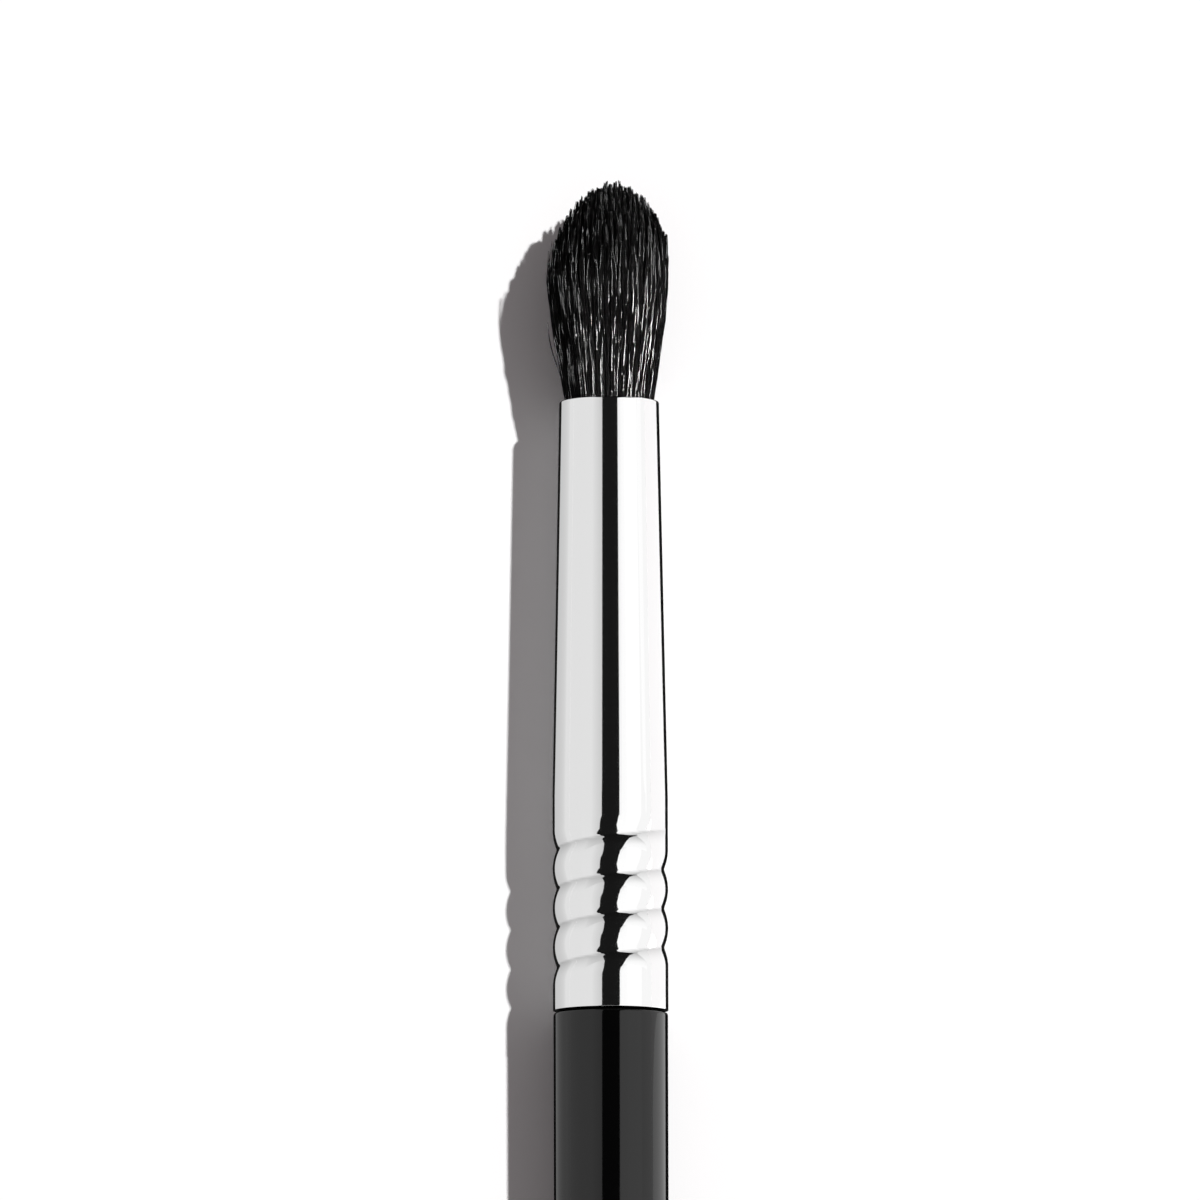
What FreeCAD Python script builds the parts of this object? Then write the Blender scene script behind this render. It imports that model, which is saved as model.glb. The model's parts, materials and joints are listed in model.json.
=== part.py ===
import FreeCAD, Part
import math
import os

# Round eyeshadow brush, in millimetres and degrees.
# Every piece is made about its own Z axis, with z = 0 at the collar, where the ferrule meets the
# handle's shoulder, and +Z towards the tuft. lay_down() then brings it into the brush's frame: the
# brush lies with the tuft towards -Y and the tail towards +Y, +Z is up, and the origin is on the
# axis at the middle of the grip.

Vector = FreeCAD.Vector
AXIS = Vector(0, 0, 1)
ON_COLLAR = Vector(0, 0, 0)

# Fit between pieces that are pushed into each other, on the radius
FIT = 0.02

# Ferrule: a drawn tube, straight over the tenon, then tapered up to the mouth
FERRULE_LENGTH = 40.8
COLLAR_DIAMETER = 7.66
MOUTH_DIAMETER = 6.64
FERRULE_WALL = 0.27
LIP_ROUND = 0.2
RIM_BREAK = 0.06

# Crimp: one right-handed V groove, rolled through the ferrule's wall into the tenon.
# Its start is a height above the collar and an angle from +X towards the front.
CRIMP_START = 2.7
CRIMP_START_ANGLE = -40.0
CRIMP_TURNS = 3.5
CRIMP_PITCH = 2.61
CRIMP_DEPTH = 0.29
CRIMP_WIDTH = 1.65
CRIMP_NOSE = 0.2
CRIMP_RUN_OUT = 2.0
CRIMP_OVERCUT = 0.05
STRAIGHT_PAST_CRIMP = 0.9

# Handle: a turned stick with a straight grip, a long taper, a round tail and a tenon
HANDLE_DIAMETER = 7.6
HANDLE_LENGTH = 115.0
SHOULDER_LENGTH = 0.5
SHOULDER_INSET = 0.16
GRIP_LENGTH = 16.0
GRIP_SWEEP = 46.0
TAIL_SWEEP = 34.0
TAIL_DIAMETER = 4.6
TENON_SEAT_LENGTH = 4.2
TENON_CHAMFER = 0.5
GLUE_FILM = 0.1

# Tuft: the free hair above the mouth, a swelling neck under a pointed dome
TUFT_LENGTH = 14.5
BELLY_DIAMETER = 8.1
BELLY_HEIGHT = 8.4
NECK_ANGLE = 9.5
NECK_SWEEP = 3.0
BELLY_SWEEP = 3.0
DOME_SWEEP = 3.6
TIP_SWEEP = 1.6

# Roots inside the ferrule, drawn in by the thread that ties them, and the resin under them
THREAD_DIAMETER = 0.35
THREAD_PITCH = 0.8
THREAD_TURNS = 4
THREAD_BELOW_MOUTH = 4.5
WAIST_SHOULDER = 0.3
ROOTS_PAST_THREAD = 1.2
ROOT_GLUE_THICKNESS = 2.5


# Sizes that follow from those above

crimp_top = CRIMP_START + CRIMP_PITCH * CRIMP_TURNS + CRIMP_WIDTH
straight_length = crimp_top + STRAIGHT_PAST_CRIMP
tenon_length = crimp_top + TENON_SEAT_LENGTH
tenon_gap = GLUE_FILM + 2 * FIT
thread_top = FERRULE_LENGTH - THREAD_BELOW_MOUTH
thread_bottom = thread_top - THREAD_PITCH * THREAD_TURNS
root_end = thread_bottom - THREAD_DIAMETER - WAIST_SHOULDER - ROOTS_PAST_THREAD
grip_middle = -SHOULDER_LENGTH - GRIP_LENGTH / 2


def outside_radius(height):
    """Outer radius of the ferrule: straight, then tapered to the mouth."""
    collar = COLLAR_DIAMETER / 2
    mouth = MOUTH_DIAMETER / 2
    share = max(0.0, height - straight_length) / (FERRULE_LENGTH - straight_length)
    return collar + (mouth - collar) * share


def bore_radius(height):
    """Inner radius of the ferrule, which runs parallel to its outside."""
    return outside_radius(height) - FERRULE_WALL


# Drawing half profiles, with radius along X and height along Z

def at(radius, height):
    return Vector(radius, 0, height)


def line(start, end):
    return Part.LineSegment(start, end).toShape()


def arc(start, middle, end):
    return Part.Arc(start, middle, end).toShape()


def curve(*poles):
    bezier = Part.BezierCurve()
    bezier.setPoles(list(poles))
    return bezier.toShape()


def lines(points):
    return [line(start, end) for start, end in zip(points, points[1:])]


def quarter_round(start, centre, end):
    """Arc of a quarter circle about centre, from start to end."""
    radius = (start - centre).Length
    middle = centre + (start + end - centre * 2).normalize() * radius
    return arc(start, middle, end)


def crown(side, top):
    """Arc that leaves side along the axis and curves in to top."""
    inset = side.x - top.x
    rise = top.z - side.z
    radius = (rise * rise + inset * inset) / (2 * inset)
    half_angle = math.asin(rise / radius) / 2
    middle = side + Vector(math.cos(half_angle) - 1, 0, math.sin(half_angle)) * radius
    return arc(side, middle, top)


def turned(edges):
    """Solid of revolution of a closed half profile."""
    face = Part.Face(Part.Wire(edges))
    return face.revolve(ON_COLLAR, AXIS, 360)


def along_wall(radius_at, low, high, inset):
    """Points up a wall of the ferrule, inset towards the axis, with its corner where it tapers."""
    heights = [low, high]
    if low < straight_length < high:
        heights.insert(1, straight_length)
    return [at(radius_at(height) - inset, height) for height in heights]


def helix(radius, pitch, turns, start, start_angle):
    """Right-handed helix about the axis that climbs from start."""
    path = Part.makeHelix(pitch, pitch * turns, radius)
    path.rotate(ON_COLLAR, AXIS, start_angle)
    path.translate(AXIS * start)
    return path


def swept(path, section):
    """Solid of a closed section along a path, held upright along the axis."""
    shell = Part.BRepOffsetAPI.MakePipeShell(path)
    shell.setBiNormalMode(AXIS)
    shell.add(section)
    shell.build()
    shell.makeSolid()
    return shell.shape()


# Ferrule and its crimp

def crimp_section(point, outward):
    """Rounded V that cuts CRIMP_DEPTH below point and opens outwards."""
    half = CRIMP_WIDTH / 2
    nose_height = CRIMP_NOSE - CRIMP_DEPTH
    reach = math.hypot(half, nose_height)
    slope = math.asin(CRIMP_NOSE / reach) - math.atan2(nose_height, half)
    flank_along = CRIMP_NOSE * math.sin(slope)
    flank_out = nose_height - CRIMP_NOSE * math.cos(slope)
    brim_along = half + CRIMP_OVERCUT / math.tan(slope)
    top_out = CRIMP_DEPTH

    def place(along, out):
        return point + AXIS * along + outward * out

    nose = arc(place(flank_along, flank_out), place(0, -CRIMP_DEPTH), place(-flank_along, flank_out))
    rest = lines([
        place(-flank_along, flank_out),
        place(-brim_along, CRIMP_OVERCUT),
        place(-brim_along, top_out),
        place(brim_along, top_out),
        place(brim_along, CRIMP_OVERCUT),
        place(flank_along, flank_out),
    ])
    return Part.Wire([nose] + rest)


def crimp_tool(radius):
    """The crimp's groove in a wall of this radius, which leaves the wall straight at both ends."""
    path = helix(radius, CRIMP_PITCH, CRIMP_TURNS, CRIMP_START, CRIMP_START_ANGLE)
    lead = CRIMP_PITCH / (2 * math.pi)

    def point_and_tangent(turns):
        angle = math.radians(CRIMP_START_ANGLE) + 2 * math.pi * turns
        outward = Vector(math.cos(angle), math.sin(angle), 0)
        tangent = AXIS.cross(outward) * radius + AXIS * lead
        return outward * radius + AXIS * (CRIMP_START + CRIMP_PITCH * turns), tangent.normalize()

    first, first_tangent = point_and_tangent(0)
    last, last_tangent = point_and_tangent(CRIMP_TURNS)
    entry = first - first_tangent * CRIMP_RUN_OUT
    run_in = line(entry, first)
    run_out = line(last, last + last_tangent * CRIMP_RUN_OUT)
    section = crimp_section(entry, first_tangent.cross(AXIS).normalize())
    return swept(Part.Wire([run_in] + path.Edges + [run_out]), section)


def ferrule():
    """Thin tube with a rounded lip, whose crimp shows as a groove outside and a ridge in the bore."""
    rim = outside_radius(0)
    lip_low = at(outside_radius(FERRULE_LENGTH - LIP_ROUND), FERRULE_LENGTH - LIP_ROUND)
    lip_high = lip_low + Vector(-LIP_ROUND, 0, LIP_ROUND)
    lip_centre = lip_low - Vector(LIP_ROUND, 0, 0)
    wall = along_wall(outside_radius, RIM_BREAK, lip_low.z, 0)
    outside = turned(
        lines([at(0, 0), at(rim - RIM_BREAK, 0)] + wall)
        + [quarter_round(lip_low, lip_centre, lip_high)]
        + lines([lip_high, at(0, FERRULE_LENGTH), at(0, 0)])
    )
    bore_wall = along_wall(bore_radius, 0, FERRULE_LENGTH, 0)
    bore = turned(lines([at(0, 0)] + bore_wall + [at(0, FERRULE_LENGTH), at(0, 0)]))
    ridged_bore = bore.cut(crimp_tool(bore_radius(0)))
    return outside.cut(crimp_tool(outside_radius(0))).cut(ridged_bore)


# Handle and the glue on its tenon

def handle():
    """Turned stick: round tail, taper, straight grip, shoulder, and a crimped tenon above it."""
    grip = HANDLE_DIAMETER / 2
    tail = TAIL_DIAMETER / 2
    tail_end = at(0, -HANDLE_LENGTH)
    tail_centre = at(0, tail - HANDLE_LENGTH)
    tail_side = at(tail, tail - HANDLE_LENGTH)
    grip_end = at(grip, -SHOULDER_LENGTH - GRIP_LENGTH)
    shoulder_side = at(grip, -SHOULDER_LENGTH)
    shoulder_top = at(grip - SHOULDER_INSET, 0)
    taper = curve(tail_side, tail_side + AXIS * TAIL_SWEEP, grip_end - AXIS * GRIP_SWEEP, grip_end)
    land = along_wall(bore_radius, 0, crimp_top, FIT)
    seat = along_wall(bore_radius, crimp_top, tenon_length - TENON_CHAMFER, tenon_gap)
    tenon_top = at(seat[-1].x - TENON_CHAMFER, tenon_length)
    stick = turned(
        [quarter_round(tail_end, tail_centre, tail_side), taper, line(grip_end, shoulder_side)]
        + [crown(shoulder_side, shoulder_top)]
        + lines([shoulder_top] + land + seat + [tenon_top, at(0, tenon_length), tail_end])
    )
    return stick.cut(crimp_tool(bore_radius(0) - FIT))


def tenon_glue():
    """Film of glue between the tenon's seat and the bore, above the crimp."""
    low = crimp_top + FIT
    high = tenon_length - TENON_CHAMFER
    outer = along_wall(bore_radius, low, high, FIT)
    inner = along_wall(bore_radius, low, high, FIT + GLUE_FILM)
    return turned(lines(outer + inner[::-1] + outer[:1]))


# Tuft and what holds its roots

def waist_radius():
    """Radius of the roots under the thread, which fills the bore at the winding's narrow end."""
    return bore_radius(thread_top + THREAD_DIAMETER) - 2 * FIT - THREAD_DIAMETER


def bristle_tuft():
    """Hair bundle: roots with a tied waist in the bore, then the swelling tuft with a pointed dome."""
    waist = waist_radius()
    waist_high = thread_top + THREAD_DIAMETER
    waist_low = thread_bottom - THREAD_DIAMETER
    mouth = at(bore_radius(FERRULE_LENGTH) - FIT, FERRULE_LENGTH)
    belly = at(BELLY_DIAMETER / 2, FERRULE_LENGTH + BELLY_HEIGHT)
    tip = at(0, FERRULE_LENGTH + TUFT_LENGTH)
    neck_pull = Vector(math.tan(math.radians(NECK_ANGLE)), 0, 1) * NECK_SWEEP
    roots = [
        at(0, root_end),
        at(bore_radius(root_end) - FIT, root_end),
        at(bore_radius(waist_low - WAIST_SHOULDER) - FIT, waist_low - WAIST_SHOULDER),
        at(waist, waist_low),
        at(waist, waist_high),
        at(bore_radius(waist_high + WAIST_SHOULDER) - FIT, waist_high + WAIST_SHOULDER),
        mouth,
    ]
    neck = curve(mouth, mouth + neck_pull, belly - AXIS * BELLY_SWEEP, belly)
    dome = curve(belly, belly + AXIS * DOME_SWEEP, tip + Vector(TIP_SWEEP, 0, 0), tip)
    return turned(lines(roots) + [neck, dome, line(tip, roots[0])])


def binding_thread():
    """Thread wound round the roots' waist, as one open coil."""
    thread = THREAD_DIAMETER / 2
    coil = waist_radius() + FIT + thread
    path = helix(coil, THREAD_PITCH, THREAD_TURNS, thread_bottom, 0)
    start = at(coil, thread_bottom)
    section = Part.Wire([Part.makeCircle(thread, start, Vector(0, 1, 0))])
    print("binding_thread: least gap between turns %.2f mm" % (THREAD_PITCH - THREAD_DIAMETER))
    return swept(Part.Wire(path.Edges), section)


def root_glue():
    """Plug of resin across the bore, against the cut ends of the roots."""
    low = root_end - ROOT_GLUE_THICKNESS
    side = along_wall(bore_radius, low, root_end, FIT)
    return turned(lines([at(0, low)] + side + [at(0, root_end), at(0, low)]))


# Writing the pieces

def lay_down(shape):
    """Bring a piece into the brush's frame: grip's middle at the origin, tuft towards -Y."""
    laid = shape.copy()
    laid.translate(AXIS * -grip_middle)
    laid.rotate(ON_COLLAR, Vector(1, 0, 0), 90)
    return laid


PIECES = {
    "bristle_tuft": bristle_tuft,
    "binding_thread": binding_thread,
    "root_glue": root_glue,
    "ferrule": ferrule,
    "tenon_glue": tenon_glue,
    "handle": handle,
}


def main():
    os.makedirs("parts", exist_ok=True)
    for name, make in PIECES.items():
        piece = lay_down(make())
        piece.exportStep("parts/%s.step" % name)
        print("%s: %.1f mm3 in %d solid" % (name, piece.Volume, len(piece.Solids)))


main()
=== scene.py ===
"""Round eyeshadow brush: hair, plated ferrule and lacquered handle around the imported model."""

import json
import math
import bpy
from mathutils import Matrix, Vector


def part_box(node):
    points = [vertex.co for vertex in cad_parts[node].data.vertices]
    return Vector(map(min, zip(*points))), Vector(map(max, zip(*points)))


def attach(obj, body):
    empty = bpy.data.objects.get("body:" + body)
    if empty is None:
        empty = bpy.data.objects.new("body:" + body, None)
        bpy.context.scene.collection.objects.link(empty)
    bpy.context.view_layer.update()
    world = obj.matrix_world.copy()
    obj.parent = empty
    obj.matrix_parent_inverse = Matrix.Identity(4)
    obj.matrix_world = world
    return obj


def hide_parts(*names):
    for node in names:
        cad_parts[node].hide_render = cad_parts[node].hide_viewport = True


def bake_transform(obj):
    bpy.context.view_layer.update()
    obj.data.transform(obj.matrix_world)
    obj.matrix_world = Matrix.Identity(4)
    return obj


bl_info = {
    "name": "Eyeshadow Brush",
    "version": (1, 0, 0),
    "blender": (4, 5, 0),
    "location": "3D View > Sidebar > Brush",
    "description": "Dresses the packed eyeshadow brush and sets it on a white table",
    "category": "Object",
}

import bmesh
import bpy
import numpy as np
from bpy.props import FloatProperty, FloatVectorProperty, IntProperty, PointerProperty
from mathutils import Matrix, Vector
from mathutils.geometry import interpolate_bezier
from mathutils.kdtree import KDTree

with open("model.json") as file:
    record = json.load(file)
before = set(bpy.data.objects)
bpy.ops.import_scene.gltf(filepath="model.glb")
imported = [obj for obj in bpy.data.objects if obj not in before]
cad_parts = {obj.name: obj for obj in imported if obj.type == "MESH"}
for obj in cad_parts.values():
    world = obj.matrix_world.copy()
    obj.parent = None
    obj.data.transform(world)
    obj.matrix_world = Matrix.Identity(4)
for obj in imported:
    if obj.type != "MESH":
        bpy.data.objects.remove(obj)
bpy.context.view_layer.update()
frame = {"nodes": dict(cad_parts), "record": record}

MM = 0.001

# The brush lies along Y, with its tuft towards -Y. These are where its pieces begin and end.
TIP_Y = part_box("bristle_tuft")[0].y
ROOT_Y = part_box("bristle_tuft")[1].y
MOUTH_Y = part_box("ferrule")[0].y
COLLAR_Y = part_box("ferrule")[1].y
TENON_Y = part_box("handle")[0].y
TAIL_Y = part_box("handle")[1].y
GRIP = frame["record"]["mounts"][0]["dims"]

HOLDER = "handle_and_ferrule"

# Fineness of the turned pieces: steps round them, cuts along them, and how they are cut and merged
SHARP_ANGLE = math.radians(35)
SECTORS = 16
ROUND_STEPS = 192
CORE_STEPS = 64
CORE_RINGS = 24
STRAIGHT_CUTS = 150
TAPER_CUTS = 24
LONG_EDGE = 1 * MM
SLACK = 0.1 * MM
MERGE = 0.002 * MM


def linear(code):
    """Linear colour of an sRGB hex code."""
    levels = [int(code[start:start + 2], 16) / 255 for start in (1, 3, 5)]
    return [level / 12.92 if level <= 0.04045 else ((level + 0.055) / 1.055) ** 2.4 for level in levels]


# Sizes and colours that a user would change

class FerruleSettings(bpy.types.PropertyGroup):
    collar_diameter: FloatProperty(
        name="Collar diameter", description="Outside of the straight part, over the handle's tenon",
        default=7.66 * MM, unit="LENGTH", precision=5)
    mouth_diameter: FloatProperty(
        name="Mouth diameter", description="Outside of the narrow end that the hair comes out of",
        default=6.64 * MM, unit="LENGTH", precision=5)
    wall: FloatProperty(
        name="Wall", description="Thickness of the drawn tube",
        default=0.27 * MM, unit="LENGTH", precision=5)
    straight_length: FloatProperty(
        name="Straight length", description="Height above the collar at which the taper starts",
        default=14.385 * MM, unit="LENGTH", precision=5)
    lip_round: FloatProperty(
        name="Lip round", description="Radius of the rounded lip at the mouth",
        default=0.1 * MM, unit="LENGTH", precision=5)
    rim_break: FloatProperty(
        name="Rim break", description="Radius of the broken edge at the collar",
        default=0.03 * MM, unit="LENGTH", precision=5)
    crimp_start: FloatProperty(
        name="Crimp start", description="Height above the collar at which the groove starts",
        default=2.7 * MM, unit="LENGTH", precision=5)
    crimp_start_angle: FloatProperty(
        name="Crimp start angle", description="Angle round the axis at which the groove starts",
        default=math.radians(-40), subtype="ANGLE")
    crimp_turns: FloatProperty(
        name="Crimp turns", description="Turns of the groove round the ferrule", default=3.5)
    crimp_pitch: FloatProperty(
        name="Crimp pitch", description="Rise of the groove in one turn",
        default=2.61 * MM, unit="LENGTH", precision=5)
    crimp_depth: FloatProperty(
        name="Crimp depth", description="Depth of the groove below the wall",
        default=0.29 * MM, unit="LENGTH", precision=5)
    plating: FloatVectorProperty(
        name="Plating", description="Colour of the bright plating",
        default=linear("#f7f7f7"), subtype="COLOR", min=0, max=1)


class HandleSettings(bpy.types.PropertyGroup):
    diameter: FloatProperty(
        name="Diameter", description="Of the straight grip behind the ferrule",
        default=2 * GRIP["r_mm"] * MM, unit="LENGTH", precision=5)
    grip_length: FloatProperty(
        name="Grip length", description="Length of the straight grip",
        default=GRIP["length_mm"] * MM, unit="LENGTH", precision=5)
    shoulder_length: FloatProperty(
        name="Shoulder length", description="From the collar to the end of the shoulder's rounding",
        default=0.24 * MM, unit="LENGTH", precision=5)
    collar_gap: FloatProperty(
        name="Collar gap", description="Width of the fine groove between the shoulder and the ferrule",
        default=0.2 * MM, unit="LENGTH", precision=5)
    grip_sweep: FloatProperty(
        name="Grip sweep", description="How long the taper keeps the grip's direction",
        default=46 * MM, unit="LENGTH", precision=5)
    tail_sweep: FloatProperty(
        name="Tail sweep", description="How long the taper keeps the tail's direction",
        default=34 * MM, unit="LENGTH", precision=5)
    tail_diameter: FloatProperty(
        name="Tail diameter", description="Of the round end",
        default=4.6 * MM, unit="LENGTH", precision=5)
    tenon_gap: FloatProperty(
        name="Tenon gap", description="Room between the tenon and the bore",
        default=0.02 * MM, unit="LENGTH", precision=5)
    lacquer: FloatVectorProperty(
        name="Lacquer", description="Colour of the lacquer",
        default=linear("#040404"), subtype="COLOR", min=0, max=1)


class TuftSettings(bpy.types.PropertyGroup):
    hairs: IntProperty(
        name="Hairs", description="Number of hairs that are drawn", default=8400, min=100)
    clumps: IntProperty(
        name="Clumps", description="Number of small clumps that the tips gather in", default=360, min=1)
    strays: IntProperty(
        name="Strays", description="Number of hairs that stand off the outside", default=34, min=0)
    seed: IntProperty(
        name="Seed", description="Number that the hairs' places are drawn from", default=7)
    silky: FloatProperty(
        name="Silky share", description="Share of the hairs that shine", default=0.2, min=0, max=1)
    hair_diameter: FloatProperty(
        name="Hair diameter", description="Thickness of a hair below its taper",
        default=0.072 * MM, unit="LENGTH", precision=6)
    belly_diameter: FloatProperty(
        name="Belly diameter", description="Of the tuft where it is widest",
        default=8.1 * MM, unit="LENGTH", precision=5)
    belly_height: FloatProperty(
        name="Belly height", description="Height above the mouth at which the tuft is widest",
        default=8.4 * MM, unit="LENGTH", precision=5)
    neck_angle: FloatProperty(
        name="Neck angle", description="Angle at which the hair spreads from the mouth",
        default=math.radians(8), subtype="ANGLE")
    dark: FloatVectorProperty(
        name="Dark hair", description="Colour of the darkest hairs",
        default=linear("#030303"), subtype="COLOR", min=0, max=1)
    light: FloatVectorProperty(
        name="Light hair", description="Colour of the lightest hairs",
        default=linear("#0d0c0c"), subtype="COLOR", min=0, max=1)


class StageSettings(bpy.types.PropertyGroup):
    sun: FloatProperty(
        name="Sun", description="Strength of the lamp that throws the shadow", default=3.38)
    sun_size: FloatProperty(
        name="Sun size", description="Angle that the lamp takes up, which softens the shadow's edge",
        default=math.radians(1.6), subtype="ANGLE")
    fill: FloatProperty(
        name="Fill", description="Strength of the light from all round", default=0.19)
    fill_colour: FloatVectorProperty(
        name="Fill colour", description="Colour of the light from all round",
        default=linear("#fff6f8"), subtype="COLOR", min=0, max=1)
    elevation: FloatProperty(
        name="Camera elevation", description="Angle of the camera above the table",
        default=math.radians(83.5), subtype="ANGLE")
    roll: FloatProperty(
        name="Camera roll", description="Turn of the camera about its own view",
        default=math.radians(-0.15), subtype="ANGLE")
    distance: FloatProperty(
        name="Camera distance", description="From the camera to the brush",
        default=1.2, unit="LENGTH")
    frame_width: FloatProperty(
        name="Frame width", description="Width of what the camera sees at the brush",
        default=79.84 * MM, unit="LENGTH", precision=5)


# Modelling

def place(radius, height):
    """Point of a half profile, from a radius and a height above the collar."""
    return Vector((radius, COLLAR_Y - height, 0))


def chain(points, closed=False):
    """A chain of edges through points, as a bmesh, with its vertices in order."""
    bm = bmesh.new()
    verts = [bm.verts.new(point) for point in points]
    ends = verts[1:] + verts[:1] if closed else verts[1:]
    for start, end in zip(verts, ends):
        bm.edges.new((start, end))
    return bm, verts


def sweep(start, start_pull, end_pull, end, steps):
    """Points of radius and height along a smooth curve, which leaves its ends towards their pulls."""
    points = [Vector((*point, 0)) for point in (start, start_pull, end_pull, end)]
    return [point.xy for point in interpolate_bezier(*points, steps)]


def round_vertex(bm, vert, radius, segments):
    bmesh.ops.bevel(
        bm, geom=[vert], offset=radius, affect="VERTICES", segments=segments, profile=0.5, material=-1)


def divide(bm, low, high, cuts):
    """Divides each long edge of a half profile that runs between two heights above the collar."""
    edges = []
    for edge in bm.edges:
        heights = [COLLAR_Y - vert.co.y for vert in edge.verts]
        inside = min(heights) > low - SLACK and max(heights) < high + SLACK
        if inside and edge.calc_length() > LONG_EDGE:
            edges.append(edge)
    bmesh.ops.subdivide_edges(bm, edges=edges, cuts=cuts)


def turn(bm, steps):
    """Spins a half profile round the brush's axis into a closed skin that faces outwards.

    One sector is spun and then copied all round, which is far quicker than one long spin."""
    sector = math.tau / SECTORS
    bmesh.ops.spin(
        bm, geom=bm.verts[:] + bm.edges[:], cent=(0, 0, 0), axis=(0, 1, 0),
        angle=sector, steps=steps // SECTORS)
    bmesh.ops.spin(
        bm, geom=bm.verts[:] + bm.edges[:] + bm.faces[:], cent=(0, 0, 0), axis=(0, 1, 0),
        angle=math.tau - sector, steps=SECTORS - 1, use_duplicate=True)
    bmesh.ops.remove_doubles(bm, verts=bm.verts, dist=MERGE)
    bmesh.ops.recalc_face_normals(bm, faces=bm.faces)


def make_piece(bm, name, material):
    """Makes an object of a finished bmesh, smooth but for its sharp edges."""
    mesh = bpy.data.meshes.new(name)
    bm.to_mesh(mesh)
    bm.free()
    mesh.shade_smooth()
    mesh.set_sharp_from_angle(angle=SHARP_ANGLE)
    return place_piece(mesh, name, material)


def place_piece(mesh, name, material):
    mesh.materials.append(material)
    piece = bpy.data.objects.new(name, mesh)
    bpy.context.scene.collection.objects.link(piece)
    return piece


def ease(share):
    """Smooth step from 0 to 1."""
    share = np.clip(share, 0, 1)
    return share * share * (3 - 2 * share)


# Height above the collar up to which the rim stays round, and rounding of the crimp's groove, as a
# share of half its pitch
ROUND_RIM = 0.1 * MM
CRIMP_ROUND = 0.05
# Painted shade along the crimp's groove: how many pitches it goes up and down from the groove, how
# many turns past the groove's ends, and the share of the plating's colour that it keeps
GROOVE_SHADE_UP = 0.05
GROOVE_SHADE_DOWN = 0.38
GROOVE_SHADE_PAST = 0.12
GROOVE_SHADE_COLOUR = 0.7


def crimp_near(ferrule, height, angle):
    """Where a height above the collar and an angle lie from the nearest turn of the crimp.

    Gives the height over the turn, in pitches, and the way past the crimp's ends, in turns."""
    turned = (angle - ferrule.crimp_start_angle) / math.tau
    climbed = (height - ferrule.crimp_start) / ferrule.crimp_pitch
    along = turned + round(climbed - turned)
    return climbed - along, max(0, -along, along - ferrule.crimp_turns)


def crimp_cut(ferrule, height, angle):
    """How far the crimp presses the wall in at a height above the collar and an angle round the axis."""
    over, past = crimp_near(ferrule, height, angle)
    aside = min(1, math.hypot(2 * over, CRIMP_ROUND))
    beyond = past * math.pi * ferrule.collar_diameter
    lift = beyond * beyond / ferrule.collar_diameter
    return max(0, ferrule.crimp_depth * (1 - aside) ** 2 - lift)


def press_crimp(bm, ferrule):
    """Presses the helical crimp into the walls of a turned piece, over the ferrule's straight part."""
    for vert in bm.verts:
        height = COLLAR_Y - vert.co.y
        radius = math.hypot(vert.co.x, vert.co.z)
        if ROUND_RIM < height < ferrule.straight_length and radius > ferrule.collar_diameter / 4:
            cut = crimp_cut(ferrule, height, math.atan2(vert.co.z, vert.co.x))
            vert.co.x *= 1 - cut / radius
            vert.co.z *= 1 - cut / radius


def paint_crimp_shade(bm, ferrule):
    """Marks the crimp's painted shade: most in the groove, and less on its wall towards the collar."""
    painted_groove_shade = bm.verts.layers.float.new("painted_groove_shade")
    for vert in bm.verts:
        over, past = crimp_near(ferrule, COLLAR_Y - vert.co.y, math.atan2(vert.co.z, vert.co.x))
        side = 1 - over / GROOVE_SHADE_UP if over > 0 else 1 + over / GROOVE_SHADE_DOWN
        vert[painted_groove_shade] = max(0, side) ** 2 * max(0, 1 - past / GROOVE_SHADE_PAST)


# Materials

def add_node(tree, kind, inputs=None, **settings):
    """Adds a node with its settings, and sets its inputs to values or links them from outputs."""
    node = tree.nodes.new(kind)
    for name, value in settings.items():
        setattr(node, name, value)
    for name, value in (inputs or {}).items():
        if isinstance(value, bpy.types.NodeSocket):
            tree.links.new(value, node.inputs[name])
        else:
            node.inputs[name].default_value = value
    return node


def new_material(name):
    """An empty node material, with its tree and output node."""
    material = bpy.data.materials.new(name)
    material.use_nodes = True
    material.node_tree.nodes.clear()
    output = add_node(material.node_tree, "ShaderNodeOutputMaterial")
    return material, material.node_tree, output


def per_size(millimetres):
    """Scale of a pattern whose cells have this size."""
    return 1 / (millimetres * MM)


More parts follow.
